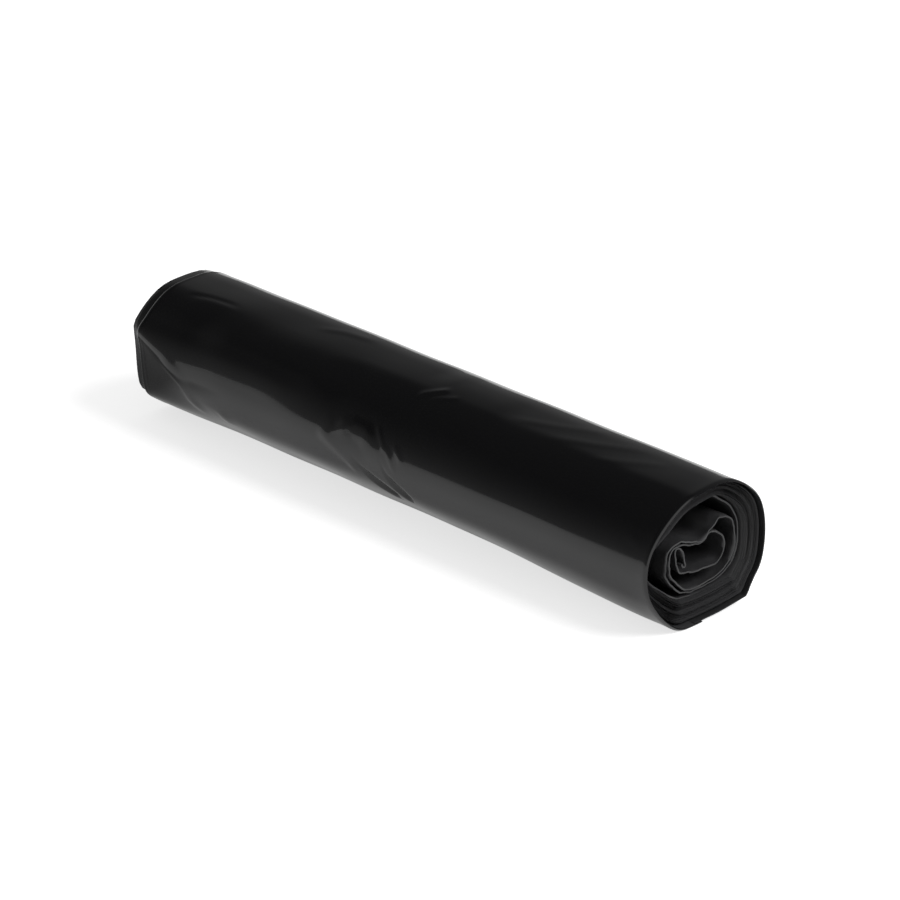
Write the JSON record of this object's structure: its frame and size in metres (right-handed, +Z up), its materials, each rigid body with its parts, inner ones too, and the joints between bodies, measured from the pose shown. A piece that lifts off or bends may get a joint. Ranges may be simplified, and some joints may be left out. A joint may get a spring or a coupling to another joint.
{
  "type": "bin bag roll",
  "caption": "Coreless roll of black plastic bin bags: a continuous wound web of folded film, pressed out of round, with a loose middle and telescoped edges.",
  "frame": {"origin": "under the middle of the roll's bounding box, on the surface that it lies on", "axes": "+X along the roll, towards the end where the last bag stands out; +Y across it, horizontally; +Z up. Seen from the +X end the film is wound anticlockwise outwards and its free edge lies underneath"},
  "size_m": [0.3564, 0.0784, 0.0665],
  "materials": {
    "film": "glossy black polyethylene film, creased"
  },
  "bodies": {
    "root": {"bag_roll": "film"}
  },
  "joints": []
}
